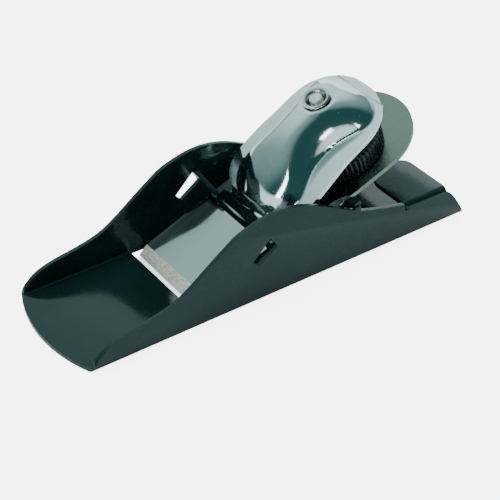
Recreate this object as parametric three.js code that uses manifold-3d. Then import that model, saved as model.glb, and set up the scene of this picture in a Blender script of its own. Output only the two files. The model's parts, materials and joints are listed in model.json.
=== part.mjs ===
// Pressed-steel block plane, bevel up. Millimetres, +Z up, +X from the toe to the heel.
// The origin is in the middle of the sole, on the face that runs on the wood.
import * as THREE from 'three';
import { mergeVertices } from 'three/addons/utils/BufferGeometryUtils.js';
import Module from 'manifold-3d';

// ---- driving dimensions ----------------------------------------------------------
const GAP = 0.3;                 // clearance between pieces that touch
const SHEET = 1.6;               // sheet of the body pressing
const HALF_W = 24;               // half of the body's width
const TOE_APEX = -78.7;          // foremost point of the sole's convex toe
const TOE_CORNER = -73.3;        // where the side walls start
const HEEL = 78.7;
const BEND_OUT = 2.2;            // outer radius between sole and wall

const BED = THREE.MathUtils.degToRad(22);   // slope of the cutter
const EDGE_X = -29.3;            // cutting edge on the sole's plane
const MOUTH_FRONT = -32;
const MOUTH_REAR = -24.2;
const MOUTH_HALF = 22.8;         // the slot runs out into the feet of the walls

const CUTTER_T = 1.8;
const CUTTER_HALF = 21;
const CUTTER_LEN = 103;
const BEVEL_LEN = 4;

const CAP_T = 1.5;               // sheet of the lever cap
const CAP_NOSE = 31.6;           // distances along the bed from the cutting edge
const CAP_END = 93;
const NOSE_HALF = 16;
const NOSE_REAR = 36.6;          // rear edge of the nose pad, beside the neck
const NECK_HALF = 12.2;
const FOOT = [37, 90];           // the dome's foot, from the neck to the rear flange
const DOME = 11.3;               // rise of the dome over its flange

const SCREW_S = 74;              // screw axis, along the bed
const SCREW_R = 2.5;
const SCREW_TOP = 27.6;          // heights above the cutter's underside
const WHEEL_R = 17.2;
const WHEEL_LOW = CUTTER_T + GAP;
const WHEEL_T = 8;
const HUB_TOP = 14;
const TEETH = 48;
const CAP_TOP = 26.3;            // flat spot on the crown, round the screw
const CAP_HALF = 21.6;           // half width of the blank the cap is cut from
const CAP_HOLE_R = 4.3;          // hole in the crown for the bushing

const TONGUE_X = [51.2, 69.7];   // heel tongues, folded in from the tops of the walls
const TONGUE_TOP = 14.6;
const TONGUE_REACH = 0.4;        // half of the slit between the two tongues

// ---- solids ----------------------------------------------------------------------
const wasm = await Module();
wasm.setup();

function solid(geometry) {
  const bare = geometry.clone();
  bare.deleteAttribute('normal');
  bare.deleteAttribute('uv');
  const merged = mergeVertices(bare, 1e-4);
  return new wasm.Manifold(new wasm.Mesh({
    numProp: 3,
    vertProperties: Float32Array.from(merged.attributes.position.array),
    triVerts: Uint32Array.from(merged.index.array),
  }));
}

function toGeometry(manifold) {
  const mesh = manifold.getMesh();
  const geometry = new THREE.BufferGeometry();
  geometry.setAttribute('position', new THREE.BufferAttribute(mesh.vertProperties, 3));
  geometry.setIndex(new THREE.BufferAttribute(mesh.triVerts, 1));
  const flat = geometry.toNonIndexed();
  flat.computeVertexNormals();
  return flat;
}

const steel = (color, roughness, metalness) =>
  new THREE.MeshStandardMaterial({ color, roughness, metalness });

function piece(name, geometry, material) {
  const mesh = new THREE.Mesh(geometry, material);
  mesh.name = name;
  return mesh;
}

// An outline in the XY plane raised from low to high along Z.
function prism(points, low, high, curveSegments = 8) {
  const shape = points instanceof THREE.Shape ? points : new THREE.Shape(points);
  const g = new THREE.ExtrudeGeometry(shape, { depth: high - low, bevelEnabled: false, curveSegments });
  return g.translate(0, 0, low);
}

// An outline in the XZ plane, extruded along Y from y0 to y1.
function sidePrism(points, y0, y1) {
  const g = prism(points, 0, y1 - y0);
  return g.rotateX(Math.PI / 2).translate(0, y1, 0);
}

const v2 = (x, y) => new THREE.Vector2(x, y);
const box = (x0, x1, y0, y1, z0, z1) => new THREE.BoxGeometry(x1 - x0, y1 - y0, z1 - z0)
  .translate((x0 + x1) / 2, (y0 + y1) / 2, (z0 + z1) / 2);

// The bed frame: X runs up the cutter from the cutting edge, Z is square to the cutter.
const bed = new THREE.Matrix4().makeTranslation(EDGE_X, 0, 0)
  .multiply(new THREE.Matrix4().makeRotationY(-BED));

// ---- body pressing -----------------------------------------------------------------
// Section of the channel: a flat sole and two upright walls with a tight bend between them.
function channelSection() {
  const r = BEND_OUT, ri = BEND_OUT - SHEET, top = 40, s = new THREE.Shape();
  s.moveTo(-HALF_W, top);
  s.lineTo(-HALF_W, r);
  s.absarc(-HALF_W + r, r, r, Math.PI, 1.5 * Math.PI, false);
  s.absarc(HALF_W - r, r, r, 1.5 * Math.PI, 2 * Math.PI, false);
  s.lineTo(HALF_W, top);
  s.lineTo(HALF_W - SHEET, top);
  s.lineTo(HALF_W - SHEET, r);
  s.absarc(HALF_W - r, r, ri, 0, -Math.PI / 2, true);
  s.absarc(-HALF_W + r, r, ri, -Math.PI / 2, -Math.PI, true);
  s.lineTo(-HALF_W + SHEET, top);
  return s;
}

function channel() {
  const g = prism(channelSection(), 0, HEEL - TOE_APEX, 5);
  g.applyMatrix4(new THREE.Matrix4().makeBasis(
    new THREE.Vector3(0, 1, 0), new THREE.Vector3(0, 0, 1), new THREE.Vector3(1, 0, 0)));
  return g.translate(TOE_APEX, 0, 0);
}

// Top line of the side walls: low at the toe, a tall hump over the cutter, low again at the heel.
function wallProfile() {
  const toe = new THREE.SplineCurve([
    v2(TOE_CORNER, SHEET + 0.02), v2(-71.8, 4.2), v2(-67.5, 7.6), v2(-61, 9.7), v2(-51.6, 11.3),
    v2(-43.8, 13.3), v2(-37.1, 16.9), v2(-24.7, 25.8), v2(-16.5, 30.7), v2(-4, 33.4), v2(9.2, 31),
    v2(28.5, 21.4), v2(38, 18), v2(47.5, 15.6),
  ]).getPoints(70);
  const heelCurve = new THREE.SplineCurve([
    v2(70.2, 12.4), v2(72.6, 10.6), v2(75, 7.2), v2(77.2, 3.6), v2(HEEL, 0.6),
  ]).getPoints(14);
  return [v2(TOE_APEX, -1), v2(TOE_APEX, SHEET + 0.02), ...toe,
    v2(TONGUE_X[0] - 0.6, 14.9), v2(TONGUE_X[0], 12.2), v2(TONGUE_X[1], 12.2), ...heelCurve, v2(HEEL, -1)];
}

// Plan of the sole: a shallow convex toe with eased corners and a square heel.
function solePlan() {
  const rise = TOE_CORNER - TOE_APEX;
  const radius = (HALF_W * HALF_W + rise * rise) / (2 * rise);
  const half = Math.asin(HALF_W / radius) * 0.93;
  const cx = TOE_APEX + radius, s = new THREE.Shape();
  s.moveTo(HEEL, -HALF_W);
  s.lineTo(HEEL, HALF_W);
  s.lineTo(TOE_CORNER, HALF_W);
  s.absarc(cx, 0, radius, Math.PI - half, Math.PI + half, false);
  s.lineTo(TOE_CORNER, -HALF_W);
  s.closePath();
  return s;
}

// A tongue at the heel: the top of the wall folded in over a bend, with a rounded free end.
function tongue() {
  const r = BEND_OUT, ri = r - SHEET, s = new THREE.Shape();
  const t = TONGUE_TOP;
  s.moveTo(TONGUE_REACH, t);
  s.lineTo(HALF_W - r, t);
  s.absarc(HALF_W - r, t - r, r, Math.PI / 2, 0, true);
  s.lineTo(HALF_W, 11);
  s.lineTo(HALF_W - SHEET, 11);
  s.lineTo(HALF_W - SHEET, t - r);
  s.absarc(HALF_W - r, t - r, ri, 0, Math.PI / 2, false);
  s.lineTo(TONGUE_REACH, t - SHEET);
  const g = prism(s, TONGUE_X[0], TONGUE_X[1], 5).applyMatrix4(new THREE.Matrix4().makeBasis(
    new THREE.Vector3(0, 1, 0), new THREE.Vector3(0, 0, 1), new THREE.Vector3(1, 0, 0)));
  const [a, b] = TONGUE_X, e = 9, c = 2.2, p = new THREE.Shape();
  p.moveTo(a + c, HALF_W);
  p.absarc(a + c, HALF_W - c, c, Math.PI / 2, Math.PI, false);
  p.lineTo(a, TONGUE_REACH + e);
  p.absarc(a + e, TONGUE_REACH + e, e, Math.PI, 1.5 * Math.PI, false);
  p.absarc(b - e / 2, TONGUE_REACH + e / 2, e / 2, 1.5 * Math.PI, 2 * Math.PI, false);
  p.lineTo(b, HALF_W);
  return solid(g).intersect(solid(prism(p, 0, 20, 10)));
}

// Window lanced in each wall, and the lug folded in from its rear edge to hold the cap's nose.
const WINDOW = [v2(-12.9, 17.4), v2(-5.7, 24.6), v2(-3.2, 19.8), v2(-10.5, 14.7)];
const LUG_DIR = v2(0.47, -0.883);             // line of the fold, downwards

function lug() {
  // Outline in the lug's own plane: X inwards from the wall, Y down the fold line.
  const outline = [v2(-0.9, 0), v2(1.2, 0.2), v2(8.6, 5.9), v2(8.9, 7.6), v2(7.6, 8.45), v2(6.3, 8.0),
    v2(1.4, 5.4), v2(-0.9, 5.4)];
  const g = prism(outline, 0, SHEET);
  const inward = new THREE.Vector3(0, -1, 0);
  const down = new THREE.Vector3(LUG_DIR.x, 0, LUG_DIR.y);
  const across = new THREE.Vector3().crossVectors(inward, down);
  g.applyMatrix4(new THREE.Matrix4().makeBasis(inward, down, across));
  return g.translate(WINDOW[1].x, HALF_W - SHEET, WINDOW[1].y);
}

// Small bed tab at the top of each wall: the cutter's underside rests on the pair.
function bedTab() {
  const plate = box(62.6, 65.2, HALF_W - 4.6, HALF_W - 0.6, -GAP - SHEET, -GAP).applyMatrix4(bed);
  const riser = box(28.9, 31.2, HALF_W - SHEET, HALF_W - 0.01, 14, 22.2);
  return solid(plate).add(solid(riser));
}

function mirrored(manifold) {
  return manifold.mirror([0, 1, 0]);
}

function bodyGeometry() {
  let body = solid(channel())
    .intersect(solid(sidePrism(wallProfile(), -30, 30)))
    .intersect(solid(prism(solePlan(), -1, 50, 20)));
  for (const part of [tongue(), solid(lug()), bedTab()]) {
    body = body.add(part).add(mirrored(part));
  }
  const window = solid(sidePrism(WINDOW, HALF_W - SHEET - 0.01, HALF_W + 1));
  body = body.subtract(window).subtract(mirrored(window));
  return toGeometry(body.subtract(solid(box(MOUTH_FRONT, MOUTH_REAR, -MOUTH_HALF, MOUTH_HALF, -1, 2.4))));
}

// ---- cutter ------------------------------------------------------------------------
// Flat blade with a square front, ground to a bevel on top, and a round rear end.
function cutterGeometry() {
  const s = new THREE.Shape();
  s.moveTo(0, CUTTER_HALF);
  s.lineTo(0, -CUTTER_HALF);
  s.lineTo(CUTTER_LEN - CUTTER_HALF, -CUTTER_HALF);
  s.absarc(CUTTER_LEN - CUTTER_HALF, 0, CUTTER_HALF, -Math.PI / 2, Math.PI / 2, false);
  const blank = solid(prism(s, 0, CUTTER_T, 24));
  const ground = solid(sidePrism([v2(-1, -0.15), v2(0, 0.1), v2(BEVEL_LEN, CUTTER_T), v2(BEVEL_LEN, 4),
    v2(-1, 4)], -30, 30));
  return toGeometry(blank.subtract(ground));
}

// ---- lever cap ---------------------------------------------------------------------
// Height of the flange above the bed, rising from the neck to the rear.
function flangeHeight(s) {
  return 17.6 - 11.2 * Math.pow(Math.max(CAP_END + 3 - s, 0.01) / 58, 2);
}

const hill = (s, centre, width) => Math.exp(-Math.pow((s - centre) / width, 2));

// Half width of the dome's foot: broad shoulders in front, hollows for the fingers, broad again.
function footHalf(s) {
  const middle = (FOOT[0] + FOOT[1]) / 2;
  const t = Math.min(1, Math.abs(s - middle) / (FOOT[1] - middle));
  return (10.2 + 5.6 * hill(s, 47, 9) + 5.8 * hill(s, 84, 11)) * Math.pow(1 - Math.pow(t, 6), 0.4) + 0.01;
}

// Height of the cap's outer face above the bed: a flat nose pad with a bevelled lip, a bend up
// to the flange, and the palm-shaped dome standing on the flange, highest at the screw.
function capHeight(s, v) {
  const pad = 3.75 + 0.1 * (s - CAP_NOSE) - 0.9 * Math.pow(Math.max(0, 1 - (s - CAP_NOSE) / 1.5), 1.5);
  const bend = THREE.MathUtils.smoothstep(s, NOSE_REAR - 0.3, NOSE_REAR + 2);
  const crest = s < 70 ? (70 - s) / (70 - FOOT[0]) : (s - 70) / (FOOT[1] - 70);
  const ridge = DOME * Math.pow(Math.max(0, 1 - Math.pow(crest, 2.6)), 0.75);
  const rho = Math.min(1.2, Math.abs(v) / footHalf(s));
  const dome = ridge * (1 - Math.pow(rho, 2.6)) * (1 + 0.3 * rho * rho);
  const skin = pad + (flangeHeight(s) - pad) * bend + (dome + Math.hypot(dome, 0.5)) / 2;
  const spot = 1 - THREE.MathUtils.smoothstep(Math.hypot(s - SCREW_S, v), 4.8, 7.4);
  return skin + (CAP_TOP - skin) * spot;
}

function capSlope(s, v) {
  const d = 0.2;
  const along = capHeight(s + d, v) - capHeight(s - d, v), across = capHeight(s, v + d) - capHeight(s, v - d);
  return Math.hypot(along, across) / (2 * d);
}

// Plan: the nose pad, a notch on each side behind it, and the flange with its round corners.
function capPlan() {
  const side = new THREE.SplineCurve([
    v2(38.4, NECK_HALF), v2(39.2, 14.2), v2(40.6, 16.8), v2(43, 19.1), v2(46.5, 20.4), v2(52, 20.8),
    v2(60, 20.4), v2(66, 19.8), v2(79, 19.2), v2(85, 16.8), v2(89.5, 12.6), v2(92.2, 6.8), v2(CAP_END, 0),
  ]).getPoints(48);
  const half = [v2(CAP_NOSE, 0), v2(CAP_NOSE, NOSE_HALF - 1), v2(CAP_NOSE + 1, NOSE_HALF),
    v2(NOSE_REAR - 0.6, NOSE_HALF), v2(NOSE_REAR, NOSE_HALF - 0.6), v2(NOSE_REAR, NECK_HALF), ...side];
  const mirrorHalf = half.slice(1, -1).reverse().map((p) => v2(p.x, -p.y));
  return new THREE.Shape([...half, ...mirrorHalf].reverse());
}

function capGeometry() {
  const s0 = CAP_NOSE - 1, s1 = CAP_END + 1;
  const slab = new THREE.BoxGeometry(s1 - s0, 2 * CAP_HALF, 1, 44, 30, 1).translate((s0 + s1) / 2, 0, 0);
  const p = slab.attributes.position;
  for (let i = 0; i < p.count; i++) {
    const s = p.getX(i), v = p.getY(i), outer = capHeight(s, v);
    const depth = CAP_T * Math.min(1.9, Math.hypot(1, capSlope(s, v)));
    p.setZ(i, p.getZ(i) > 0 ? outer : Math.max(outer - depth, CUTTER_T + GAP));
  }
  const hole = new THREE.CylinderGeometry(CAP_HOLE_R, CAP_HOLE_R, 20, 32).rotateX(Math.PI / 2)
    .translate(SCREW_S, 0, CAP_TOP);
  return toGeometry(solid(slab).intersect(solid(prism(capPlan(), -5, 40, 16))).subtract(solid(hole)));
}

// ---- bushing, screw and wheel ------------------------------------------------------
const lathe = (points, segments = 40) =>
  new THREE.LatheGeometry([...points, points[0]].map(([r, z]) => v2(r, z)), segments)
    .rotateX(Math.PI / 2).translate(SCREW_S, 0, 0);

// Threaded bushing: a barrel through the cap with a collar under it and a thin rim over it.
function bushingGeometry() {
  const bore = SCREW_R + GAP, barrel = CAP_HOLE_R - GAP, rim = CAP_TOP + GAP + 0.1;
  return lathe([[bore, 18.6], [5.4, 18.6], [5.4, 23], [barrel, 23.8], [barrel, rim], [4.8, rim],
    [4.6, rim + 0.8], [3.5, rim + 0.8], [bore, rim]]);
}

function screwGeometry() {
  const low = WHEEL_LOW + 2.2;
  return lathe([[0, low], [SCREW_R, low], [SCREW_R, SCREW_TOP - 0.5], [SCREW_R - 0.5, SCREW_TOP],
    [0, SCREW_TOP]], 32);
}

// Thumb wheel: ribbed rim, recessed top face and a hub that takes the screw in a blind hole.
function wheelGeometry() {
  const rim = [];
  for (let i = 0; i < TEETH; i++) {
    for (const [f, r] of [[0, WHEEL_R - 0.7], [0.3, WHEEL_R], [0.7, WHEEL_R]]) {
      const a = ((i + f) / TEETH) * 2 * Math.PI;
      rim.push(v2(SCREW_S + r * Math.cos(a), r * Math.sin(a)));
    }
  }
  const toothed = solid(prism(rim, WHEEL_LOW, WHEEL_LOW + WHEEL_T));
  const r = WHEEL_R, top = WHEEL_LOW + WHEEL_T, bore = SCREW_R + GAP;
  const turned = solid(lathe([[0, WHEEL_LOW + 0.01], [r - 0.4, WHEEL_LOW + 0.01], [r + 0.2, WHEEL_LOW + 0.6],
    [r + 0.2, top - 1.2], [r - 1.2, top - 0.01], [r - 3.4, top - 0.01], [r - 4.2, top - 1.4],
    [6.5, top - 1.4], [6, HUB_TOP], [bore, HUB_TOP], [bore, WHEEL_LOW + 1.9], [0, WHEEL_LOW + 1.9]], 48));
  const hub = solid(lathe([[bore, top - 1.6], [6.4, top - 1.6], [6, HUB_TOP], [bore, HUB_TOP]], 48));
  return toGeometry(toothed.intersect(turned).add(hub));
}

// ---- assembly ----------------------------------------------------------------------
const group = new THREE.Group();
group.add(piece('body_pressing', bodyGeometry(), steel(0x101a1a, 0.25, 0.0)));

const onBed = new THREE.Group();
onBed.position.set(EDGE_X, 0, 0);
onBed.rotation.y = -BED;
onBed.add(
  piece('cutter', cutterGeometry(), steel(0xb9bfbf, 0.25, 1.0)),
  piece('lever_cap', capGeometry(), steel(0xdfe4e6, 0.08, 1.0)),
  piece('cap_bushing', bushingGeometry(), steel(0xc6cacb, 0.2, 1.0)),
  piece('clamp_screw', screwGeometry(), steel(0xaeb3b4, 0.25, 1.0)),
  piece('thumb_wheel', wheelGeometry(), steel(0x141817, 0.45, 0.2)),
);
group.add(onBed);

export default group;
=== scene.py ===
import json
from math import atan2, exp, hypot, pi, radians, sqrt

import bmesh
import bpy
from mathutils import Matrix, Vector


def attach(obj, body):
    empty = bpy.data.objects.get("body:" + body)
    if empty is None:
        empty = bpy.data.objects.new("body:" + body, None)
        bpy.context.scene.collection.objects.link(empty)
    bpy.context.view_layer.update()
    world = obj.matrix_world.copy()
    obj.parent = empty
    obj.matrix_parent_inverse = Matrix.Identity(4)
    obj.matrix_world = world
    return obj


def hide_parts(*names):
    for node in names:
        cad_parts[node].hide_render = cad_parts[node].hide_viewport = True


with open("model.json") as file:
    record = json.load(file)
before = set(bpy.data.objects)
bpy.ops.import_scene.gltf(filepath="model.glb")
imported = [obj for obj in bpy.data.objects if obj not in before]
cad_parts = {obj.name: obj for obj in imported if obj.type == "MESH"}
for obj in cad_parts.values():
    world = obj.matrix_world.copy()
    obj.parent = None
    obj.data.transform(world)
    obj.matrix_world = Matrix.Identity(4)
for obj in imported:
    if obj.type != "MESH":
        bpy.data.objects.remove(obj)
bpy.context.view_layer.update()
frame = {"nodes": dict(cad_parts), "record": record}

MM = 0.001

# ---- Stage: a white paper floor in a dim room, with soft boxes over the tool, behind it and at
# its toe. The air is darker on the near side, since polished steel shows its shape by what it
# mirrors.
world = bpy.data.worlds.new("studio_air")
bpy.context.scene.world = world
world.use_nodes = True


class Wire:
    """One socket of a finish. Arithmetic on it adds Math nodes."""

    def __init__(self, socket):
        self.socket = socket

    def node(self, kind, settings=None, inputs=None, out=0):
        made = self.socket.id_data.nodes.new("ShaderNode" + kind)
        for key, value in (settings or {}).items():
            setattr(made, key, value)
        for key, value in (inputs or {}).items():
            if isinstance(value, Wire):
                self.socket.id_data.links.new(value.socket, made.inputs[key])
            else:
                made.inputs[key].default_value = value
        return Wire(made.outputs[out])

    def math(self, operation, a, b=0.0):
        return self.node("Math", {"operation": operation}, {0: a, 1: b})

    def __add__(self, other): return self.math("ADD", self, other)
    def __radd__(self, other): return self.math("ADD", other, self)
    def __sub__(self, other): return self.math("SUBTRACT", self, other)
    def __rsub__(self, other): return self.math("SUBTRACT", other, self)
    def __mul__(self, other): return self.math("MULTIPLY", self, other)
    def __rmul__(self, other): return self.math("MULTIPLY", other, self)

    def length(self): return self.math("ABSOLUTE", self)
    def at_least(self, low): return self.math("MAXIMUM", self, low)

    def ramp(self, low, high):
        """0 below low, 1 above high, smooth between."""
        return self.node("MapRange", {"interpolation_type": "SMOOTHSTEP"},
                         {"Value": self, "From Min": low, "From Max": high})

    def blend(self, a, b):
        """Colour a where this wire is 0, colour b where it is 1."""
        return self.node("Mix", {"data_type": "RGBA"}, {0: self, 6: a, 7: b}, out=2)

    def noise(self, scale, detail):
        return self.node("TexNoise", {}, {"Vector": self, "Scale": scale, "Detail": detail})

    def part(self, axis):
        return self.node("SeparateXYZ", {}, {0: self}, out=axis)

    def placed(self, place=(0, 0, 0), turn=(0, 0, 0), scale=(1, 1, 1)):
        return self.node("Mapping", {"vector_type": "POINT"},
                         {"Vector": self, "Location": place, "Rotation": turn, "Scale": scale})

    def relief(self, height, distance, strength):
        return self.node("Bump", {}, {"Height": height, "Distance": distance, "Strength": strength})

    def feed(self, name, wire):
        """Put a wire into the named socket of the shader this wire came from."""
        self.socket.id_data.links.new(wire.socket, self.socket.node.inputs[name])


air = world.node_tree
look = Wire(air.nodes.new("ShaderNodeTexCoord").outputs["Generated"])
TO_THE_LIGHT = (0.12, 0.55, 0.65)
lean = look.node("VectorMath", {"operation": "DOT_PRODUCT"}, {0: look, 1: TO_THE_LIGHT}, out=1)
dusk = lean.ramp(0.05, 0.5).blend((0.022, 0.075, 0.076, 1), (0.24, 0.34, 0.34, 1))
sky = lean.ramp(0.5, 0.9).blend(dusk, (0.95, 1.13, 1.12, 1))
air.links.new(sky.socket, air.nodes["Background"].inputs["Color"])


def aim(obj, place, target, roll_deg=0):
    turn = (Vector(target) - Vector(place)).to_track_quat("-Z", "Y").to_matrix().to_4x4()
    obj.matrix_world = Matrix.Translation(place) @ turn @ Matrix.Rotation(radians(roll_deg), 4, "Z")


def finish(name, fixed):
    """A new finish: its material, its shader and the wire of its Object coordinates."""
    made = bpy.data.materials.new(name)
    made.use_nodes = True
    shader = made.node_tree.nodes["Principled BSDF"]
    for key, value in fixed.items():
        shader.inputs[key].default_value = value
    coords = made.node_tree.nodes.new("ShaderNodeTexCoord")
    return made, Wire(shader.outputs[0]), Wire(coords.outputs["Object"])


def paper(name, height, glow, seen):
    """One sheet of the floor: a bright one for the eye, and a plain one that the steel mirrors.
    Its glow is dimmed to a painted shadow in a box under the middle of the sole, which shows in the
    mouth."""
    bm = bmesh.new()
    bmesh.ops.create_grid(bm, x_segments=1, y_segments=1, size=3.0)
    mesh = bpy.data.meshes.new(name)
    bm.to_mesh(mesh)
    bm.free()
    paint, sheen, at = finish(name, {
        "Base Color": (0.9, 0.9, 0.9, 1), "Roughness": 0.9, "Emission Strength": glow})
    # A box under the sole gets a dim emission colour: a painted shadow, seen through the mouth.
    beside = at.part(1).length().ramp(19 * MM, 22 * MM)
    beyond = (at.part(0) + 15 * MM).length().ramp(25 * MM, 30 * MM)
    sheen.feed("Emission Color", beside.at_least(beyond).blend((0.2, 0.2, 0.21, 1), (1, 1, 1, 1)))
    mesh.materials.append(paint)
    sheet = bpy.data.objects.new(name, mesh)
    sheet.location.z = height
    bpy.context.collection.objects.link(sheet)
    sheet.visible_camera = seen
    sheet.visible_glossy = sheet.visible_diffuse = sheet.visible_shadow = not seen


paper("floor_paper", height=-0.4 * MM, glow=5.0, seen=True)
paper("floor_bounce", height=-1.2 * MM, glow=0.0, seen=False)


def soft_box(name, place, target, size, power, roll_deg=0, mirrored=True):
    lamp = bpy.data.lights.new(name, "AREA")
    lamp.shape = "RECTANGLE"
    lamp.size, lamp.size_y = size
    lamp.energy = power
    obj = bpy.data.objects.new(name, lamp)
    bpy.context.collection.objects.link(obj)
    aim(obj, place, target, roll_deg)
    obj.visible_glossy = mirrored


soft_box("top_box", (-0.05, 0.10, 0.95), (0, 0, 0), (0.9, 0.7), 9, mirrored=False)
soft_box("back_box", (0.62, 0.62, 0.22), (0.02, 0, 0.03), (0.55, 0.5), 0.9)
soft_box("toe_strip", (-0.75, -0.24, 0.27), (0.02, 0, 0.03), (0.15, 1.05), 3.2, roll_deg=-34)
soft_box("near_strip", (-0.10, -0.85, 0.05), (0.03, 0, 0.04), (0.22, 0.08), 0.3)

VIEW_FROM, VIEW_ALONG = Vector((-0.2375, -0.3439, 0.3124)), Vector((0.460, 0.659, -0.596))
camera = bpy.data.objects.new("camera", bpy.data.cameras.new("camera"))
bpy.context.collection.objects.link(camera)
camera.data.lens = 109.1
camera.data.sensor_width = 36
camera.data.clip_start = 0.01
aim(camera, VIEW_FROM, VIEW_FROM + VIEW_ALONG)
bpy.context.scene.camera = camera


# ---- Body pressing: one sheet of 1.6 mm steel, folded up into a channel, its edges tumbled
# round, then stove-enamelled in gloss black. The finished solid has the folds and cut-outs;
# here its edges get the small round that the lacquer leaves.
def keep(name, bm, paint, smooth_deg=35):
    """Write a bmesh as a finished object at the origin."""
    mesh = bpy.data.meshes.new(name)
    bm.to_mesh(mesh)
    bm.free()
    mesh.materials.append(paint)
    mesh.shade_smooth()
    if smooth_deg:
        mesh.set_sharp_from_angle(angle=radians(smooth_deg))
    obj = bpy.data.objects.new(name, mesh)
    bpy.context.collection.objects.link(obj)
    return obj


def stand_in(piece, node, body):
    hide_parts(node)
    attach(piece, body)


black_lacquer, shell, at = finish("black_lacquer", {
    "Metallic": 0.0, "Specular IOR Level": 0.46, "Specular Tint": (0.60, 1.0, 0.97, 1)})
cloud = at.noise(42, 4.0)
nibs = at.noise(1900, 1.0).ramp(0.68, 0.76)
shell.feed("Base Color", cloud.ramp(0.35, 0.7).blend((0.0035, 0.0125, 0.0125, 1),
                                                     (0.005, 0.019, 0.020, 1)))
shell.feed("Roughness", 0.13 + 0.08 * cloud.ramp(0.4, 0.75) + 0.2 * nibs)
shell.feed("Normal", at.relief(at.noise(520, 2.0) + 0.4 * nibs, 0.00004, 0.5))


def edged_copy(name, node, paint, width, turn_deg):
    """A finished copy of a CAD solid whose edges carry a small live round."""
    bm = bmesh.new()
    bm.from_mesh(frame["nodes"][node].data)
    bmesh.ops.remove_doubles(bm, verts=bm.verts, dist=2e-6)
    bmesh.ops.dissolve_limit(bm, angle_limit=radians(0.4), verts=bm.verts, edges=bm.edges,
                             delimit={"NORMAL"})
    piece = keep(name, bm, paint, 0)
    edges = piece.modifiers.new("edge_round", "BEVEL")
    edges.width = width
    edges.segments = 3
    edges.limit_method = "ANGLE"
    edges.angle_limit = radians(turn_deg)
    edges.harden_normals = True
    return piece


body = edged_copy("pressed_body", "body_pressing", black_lacquer, 0.62 * MM, 40)
stand_in(body, "body_pressing", "plane_body")


# ---- Cutter: flat hardened steel, 42 mm wide. Its face is polished by hand and rolls off a little
# at the sides, its front is ground to a coarse bright bevel, and its back end keeps the fine
# lengthwise grain of the strip. Towards that end its colour is also darker: painted shade under
# the thumb wheel and cap.
joints = {joint["name"]: joint for joint in frame["record"]["behaviour"]["joints"]}
up_bed = Vector(joints["cutter_depth"]["axis"]).normalized()
off_bed = Vector(joints["wheel_turn"]["axis"]).normalized()
SCREW_S = 74 * MM
edge_point = Vector(joints["wheel_turn"]["pos_m"]) - SCREW_S * up_bed
on_bed = Matrix(((up_bed.x, 0, off_bed.x, edge_point.x), (0, 1, 0, 0),
                 (up_bed.z, 0, off_bed.z, edge_point.z), (0, 0, 0, 1)))


def bed_coords(at):
    """Object coordinates turned so that X runs up the cutter from its edge and Z is square to it."""
    slope = atan2(up_bed.z, up_bed.x)
    moved = at.node("VectorMath", {"operation": "SUBTRACT"}, {0: at, 1: edge_point})
    return moved.placed(turn=(0, slope, 0))


cutter_steel, blade, at = finish("cutter_steel", {})
bed = bed_coords(at)
grain = bed.placed(scale=(60, 2600, 60)).noise(1.0, 3.0)
ground = bed.placed(scale=(2300, 700, 900)).noise(1.0, 2.0)
smears = bed.placed(scale=(1, 1.6, 1)).noise(90, 4.0).ramp(0.45, 0.75)
bevel = 1 - bed.part(0).ramp(4.0 * MM, 4.3 * MM)
# Towards the back end the face gets rougher, with stronger grain, which is the strip's own finish. It
# also gets darker in colour, which is painted shade under the thumb wheel and cap.
rear_finish_and_shade = bed.part(0).ramp(56 * MM, 70 * MM)
far = (bed.part(1) - 3.4 * MM).at_least(0.0)
near = (-12.5 * MM - bed.part(1)).at_least(0.0)
# The face colour varies at random with the grain, and darkens towards the back end as painted shade.
face = (0.25 * grain + 0.75 * rear_finish_and_shade).blend((0.36, 0.47, 0.455, 1), (0.15, 0.20, 0.168, 1))
sparkle = ground.ramp(0.35, 0.65).blend((0.58, 0.60, 0.54, 1), (0.93, 0.93, 0.86, 1))
blade.feed("Base Color", bevel.blend(face, sparkle))
blade.feed("Metallic", 1 - 0.45 * bevel)
blade.feed("Roughness", 0.05 + 0.2 * rear_finish_and_shade + 0.05 * smears + bevel * (0.3 + 0.15 * ground))
dish = at.relief((9.8 * far * far + 50 * near * near) * (1 - rear_finish_and_shade), 1.0, 1.0)
blade.feed("Normal", dish.node("Bump", {}, {"Height": grain * (0.1 + 0.9 * rear_finish_and_shade) + 2 * bevel * ground,
                                            "Distance": 0.00002, "Strength": 0.5, "Normal": dish}))
cutter = edged_copy("cutter_blade", "cutter", cutter_steel, 0.2 * MM, 12)
stand_in(cutter, "cutter", "cutter")


# ---- Lever cap: one piece of 1.5 mm sheet steel, deep-drawn to a palm-shaped dome on a flange,
# with a flat nose pad that the body's lugs hold down. Polished and chromium-plated.
CAP_T = 1.5 * MM
CAP_NOSE, CAP_END = 31.6, 93.0         # along the bed from the cutting edge, mm
FOOT_FRONT, FOOT_REAR = 37.0, 90.0
DOME = 11.3
CAP_TOP = 26.3
NECK = 38.2
OUTLINE = ((31.6, 15.2), (32.2, 15.9), (35.9, 16), (36.25, 15.6), (36.5, 14.6), (36.7, 12.8),
           (37.1, 12.2), (NECK, 12.2), (38.6, 12.9), (39.2, 14.2), (40.6, 16.8), (43, 19.1),
           (46.5, 20.4), (52, 20.8), (60, 20.4), (66, 19.8), (79, 19.2), (85, 16.8), (89.5, 12.6),
           (92.2, 6.8), (CAP_END, 0))


def smooth_step(x, low, high):
    t = min(1, max(0, (x - low) / (high - low)))
    return t * t * (3 - 2 * t)


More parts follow.
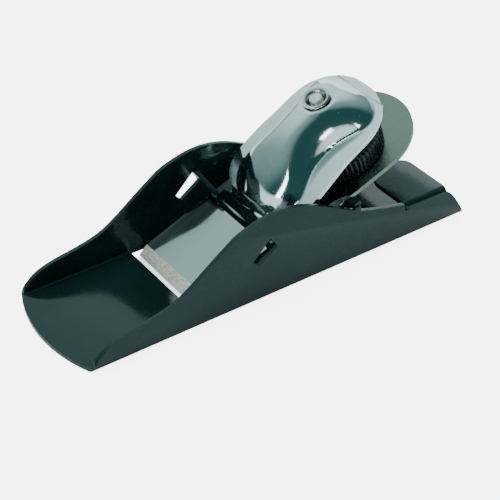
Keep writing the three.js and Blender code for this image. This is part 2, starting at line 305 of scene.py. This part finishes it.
def half_width(s):
    """Half width of the cap at a distance along the bed, through the outline's points."""
    for k in range(len(OUTLINE) - 1):
        (s0, w0), (s1, w1) = OUTLINE[k], OUTLINE[k + 1]
        if s <= s1:
            break
    if s1 <= NECK:
        return w0 + (w1 - w0) * smooth_step(s, s0, s1)
    if s1 == CAP_END:
        return w0 * sqrt(max(0, 1 - ((s - s0) / (s1 - s0)) ** 2))
    before, after = OUTLINE[k - 1], OUTLINE[k + 2]
    step = s1 - s0
    m0 = (w1 - before[1]) / (s1 - before[0]) * step
    m1 = (after[1] - w0) / (after[0] - s0) * step
    t = (s - s0) / step
    return ((2 * t ** 3 - 3 * t * t + 1) * w0 + (t ** 3 - 2 * t * t + t) * m0
            + (3 * t * t - 2 * t ** 3) * w1 + (t ** 3 - t * t) * m1)


def hill(s, centre, width):
    return exp(-(((s - centre) / width) ** 2))


def foot_half(s):
    middle = (FOOT_FRONT + FOOT_REAR) / 2
    t = min(1, abs(s - middle) / (FOOT_REAR - middle))
    return (10.2 + 5.6 * hill(s, 47, 9) + 5.8 * hill(s, 84, 11)) * (1 - t ** 6) ** 0.4 + 0.01


def cap_height(s, v):
    """Height of the cap's outer face over the bed, mm."""
    pad = 3.75 + 0.1 * (s - CAP_NOSE) - 0.9 * max(0, 1 - (s - CAP_NOSE) / 1.5) ** 1.5
    flange = 17.6 - 11.2 * (max(CAP_END + 3 - s, 0.01) / 58) ** 2
    crest = (70 - s) / (70 - FOOT_FRONT) if s < 70 else (s - 70) / (FOOT_REAR - 70)
    ridge = DOME * max(0, 1 - crest ** 2.6) ** 0.75
    rho = min(1.2, abs(v) / foot_half(s))
    dome = ridge * (1 - rho ** 2.6) * (1 + 0.3 * rho * rho)
    skin = pad + (flange - pad) * smooth_step(s, 36.3, 38.6) + (dome + hypot(dome, 0.5)) / 2
    spot = 1 - smooth_step(hypot(s - SCREW_S / MM, v), 4.8, 7.4)
    return skin + (CAP_TOP - skin) * spot


def off_axis(point):
    """Distance of a point from the screw's axis, in bed coordinates."""
    return hypot(point.x - SCREW_S, point.y)


cap_chrome, plate, at = finish("cap_chrome", {"Metallic": 1.0})
swirl = at.noise(75, 2.0)
pits = at.noise(1500, 1.0).ramp(0.7, 0.78)
haze = at.noise(160, 5.0).ramp(0.5, 0.8)
plate.feed("Base Color", (0.5 * haze + 0.5 * pits).blend((0.73, 0.88, 0.88, 1), (0.55, 0.69, 0.69, 1)))
plate.feed("Roughness", 0.09 + 0.05 * haze + 0.2 * pits)
bed = bed_coords(at)
nose_pad = 1 - bed.part(0).ramp(36.2 * MM, 37.4 * MM)
roll = at.relief(-0.2 * bed.part(1) * nose_pad, 1.0, 1.0)
plate.feed("Normal", roll.node("Bump", {}, {"Height": swirl + 0.05 * pits, "Distance": 0.00012,
                                            "Strength": 0.35, "Normal": roll}))

BEND_END, BEND_SHARE = 41, 0.3         # three tenths of the rows go to the nose and its bend
bm = bmesh.new()
bmesh.ops.create_grid(bm, x_segments=230, y_segments=96, size=1)
for vert in bm.verts:
    t, across = (vert.co.x + 1) / 2, vert.co.y
    front = CAP_NOSE + (BEND_END - CAP_NOSE) * t / BEND_SHARE
    back = BEND_END + (CAP_END - BEND_END) * (1 - min(1, (1 - t) / (1 - BEND_SHARE)) ** 1.6)
    s = front if t < BEND_SHARE else back
    v = across * half_width(s)
    vert.co = (s * MM, v * MM, cap_height(s, v) * MM)
bmesh.ops.remove_doubles(bm, verts=bm.verts, dist=1e-6)
HOLE_R, CAP_LOW = 4.3 * MM, 2.1 * MM
inside = [face for face in bm.faces if off_axis(face.calc_center_median()) < HOLE_R]
bmesh.ops.delete(bm, geom=inside, context="FACES")
for vert in bm.verts:
    reach = off_axis(vert.co)
    if vert.is_boundary and reach < 2 * HOLE_R:
        vert.co.x = SCREW_S + (vert.co.x - SCREW_S) * HOLE_R / reach
        vert.co.y *= HOLE_R / reach
bmesh.ops.recalc_face_normals(bm, faces=bm.faces)
if bm.faces[:][0].normal.z < 0:
    bmesh.ops.reverse_faces(bm, faces=bm.faces)
bmesh.ops.solidify(bm, geom=bm.faces[:], thickness=CAP_T)
for vert in bm.verts:
    vert.co.z = max(vert.co.z, CAP_LOW)
bmesh.ops.transform(bm, matrix=on_bed, verts=bm.verts)
cap = keep("cap_shell", bm, cap_chrome, 0)
rim = cap.modifiers.new("rim_round", "BEVEL")
rim.width = 0.35 * MM
rim.segments = 3
rim.limit_method = "ANGLE"
rim.angle_limit = radians(50)
rim.harden_normals = True
stand_in(cap, "lever_cap", "lever_cap")


# ---- Cap bushing: a turned steel bushing, pressed up through the cap's crown and rolled over it.
# Its countersunk rim is the ring round the screw, and its collar bears under the crown.
def turned(profile, steps, place=on_bed):
    """A closed profile of (radius, height) in mm turned about the screw's axis."""
    bm = bmesh.new()
    loop = [bm.verts.new((SCREW_S + r * MM, 0, z * MM)) for r, z in profile]
    rim = [bm.edges.new((loop[k], loop[k - 1])) for k in range(len(loop))]
    bmesh.ops.spin(bm, geom=loop + rim, cent=(SCREW_S, 0, 0), axis=(0, 0, 1), angle=2 * pi,
                   steps=steps, use_merge=True)
    bmesh.ops.remove_doubles(bm, verts=bm.verts, dist=1e-6)
    bmesh.ops.recalc_face_normals(bm, faces=bm.faces)
    bmesh.ops.transform(bm, matrix=place, verts=bm.verts)
    return bm


bushing_steel, nickel, at = finish("bushing_steel", {"Metallic": 1.0})
stain = at.noise(420, 3.0).ramp(0.4, 0.7)
nickel.feed("Base Color", stain.blend((0.60, 0.66, 0.62, 1), (0.40, 0.46, 0.42, 1)))
nickel.feed("Roughness", 0.2 + 0.12 * stain)
nickel.feed("Normal", at.relief(stain, 0.00002, 0.4))
RIM, BORE_R = CAP_TOP + 0.3, 2.8
barrel = ((BORE_R, 18.6), (5.2, 18.6), (5.4, 18.8), (5.4, 22.8), (5.2, 23.0), (4.0, 23.8),
          (4.0, RIM + 0.1))
rolled_rim = ((4.75, RIM + 0.1), (4.85, RIM + 0.3), (4.8, RIM + 0.55), (4.55, RIM + 0.85),
              (4.2, RIM + 0.92), (3.8, RIM + 0.8), (3.5, RIM + 0.5), (3.3, RIM + 0.15),
              (BORE_R, RIM - 0.5))
bushing = keep("crown_bushing", turned(barrel + rolled_rim, 96), bushing_steel)
stand_in(bushing, "cap_bushing", "lever_cap")


# ---- Clamp screw: a 5 mm steel screw fixed in the thumb wheel. Its end shows inside the
# bushing's rim, and its thread carries the cap up and down.
screw_steel, stud, at = finish("screw_steel", {"Metallic": 1.0})
scratch = at.placed(scale=(1, 3, 1)).noise(900, 3.0)
stud.feed("Base Color", scratch.ramp(0.35, 0.7).blend((0.80, 0.86, 0.86, 1), (0.55, 0.61, 0.60, 1)))
stud.feed("Roughness", 0.16 + 0.2 * scratch.ramp(0.4, 0.7))
stud.feed("Normal", at.relief(scratch, 0.00003, 0.5))
SCREW_TOP = 27.6
bm = turned(((0, 4.3), (2.0, 4.3), (2.0, SCREW_TOP - 1.3), (2.3, SCREW_TOP - 1.1),
             (2.3, SCREW_TOP - 0.45), (2.15, SCREW_TOP - 0.2), (1.6, SCREW_TOP - 0.05),
             (0, SCREW_TOP)), 64)
thread = bmesh.new()
PITCH, TURNS, STEPS = 0.8, 14, 24
section = ((1.9, 14.6), (2.45, 15.0), (1.9, 15.4))
tooth = [thread.verts.new((SCREW_S + r * MM, 0, z * MM)) for r, z in section]
loop = [thread.edges.new((tooth[k], tooth[k - 1])) for k in range(3)]
bmesh.ops.spin(thread, geom=tooth + loop, cent=(SCREW_S, 0, 0), axis=(0, 0, 1),
               angle=2 * pi * TURNS, steps=STEPS * TURNS, dvec=(0, 0, PITCH * MM / STEPS))
bmesh.ops.holes_fill(thread, edges=thread.edges, sides=3)
bmesh.ops.recalc_face_normals(thread, faces=thread.faces)
bmesh.ops.transform(thread, matrix=on_bed, verts=thread.verts)
helix = bpy.data.meshes.new("helix")
thread.to_mesh(helix)
thread.free()
bm.from_mesh(helix)
screw = keep("screw_stud", bm, screw_steel)
stand_in(screw, "clamp_screw", "clamp_screw")


# ---- Thumb wheel: a black moulded wheel under the cap, ribbed for the fingers, with a hub
# that holds the screw.
WHEEL_R, WHEEL_LOW, WHEEL_T, HUB_TOP = 17.2, 2.1, 8.0, 14.0
RIBS, GROOVE = 60, 0.75
wheel_black, mould, at = finish("wheel_black", {"Metallic": 0.0, "Specular Tint": (0.7, 0.98, 1.0, 1)})
dust = at.noise(600, 4.0).ramp(0.45, 0.75)
mould.feed("Base Color", dust.blend((0.006, 0.013, 0.012, 1), (0.022, 0.038, 0.034, 1)))
mould.feed("Roughness", 0.22 + 0.25 * dust)
mould.feed("Normal", at.relief(at.noise(1400, 3.0), 0.00005, 0.5))
top = WHEEL_LOW + WHEEL_T
tread = ((0, WHEEL_LOW), (WHEEL_R - 0.9, WHEEL_LOW), (WHEEL_R - 0.35, WHEEL_LOW + 0.15),
         (WHEEL_R, WHEEL_LOW + 0.6), (WHEEL_R, WHEEL_LOW + 2), (WHEEL_R, top - 2.4),
         (WHEEL_R, top - 1.2), (WHEEL_R - 0.4, top - 0.4))
hollow = ((WHEEL_R - 1.2, top), (WHEEL_R - 3.2, top), (WHEEL_R - 3.8, top - 0.4),
          (WHEEL_R - 4.2, top - 1.4), (6.6, top - 1.4))
hub = ((6.3, top - 1.0), (6.0, HUB_TOP - 0.3), (5.7, HUB_TOP), (BORE_R, HUB_TOP), (BORE_R, 4.0),
       (0, 4.0))
bm = turned(tread + hollow + hub, RIBS * 6, Matrix.Identity(4))
for vert in bm.verts:
    x, y = vert.co.x - SCREW_S, vert.co.y
    reach = hypot(x, y)
    if reach > (WHEEL_R - 1.0) * MM:
        phase = (atan2(y, x) / (2 * pi) * RIBS) % 1
        groove = max(0, 1 - 3.6 * min(phase, 1 - phase))
        cut = 1 - GROOVE * MM * groove / reach
        vert.co.x, vert.co.y = SCREW_S + x * cut, y * cut
bmesh.ops.transform(bm, matrix=on_bed, verts=bm.verts)
wheel = keep("ribbed_wheel", bm, wheel_black, 40)
stand_in(wheel, "thumb_wheel", "thumb_wheel")
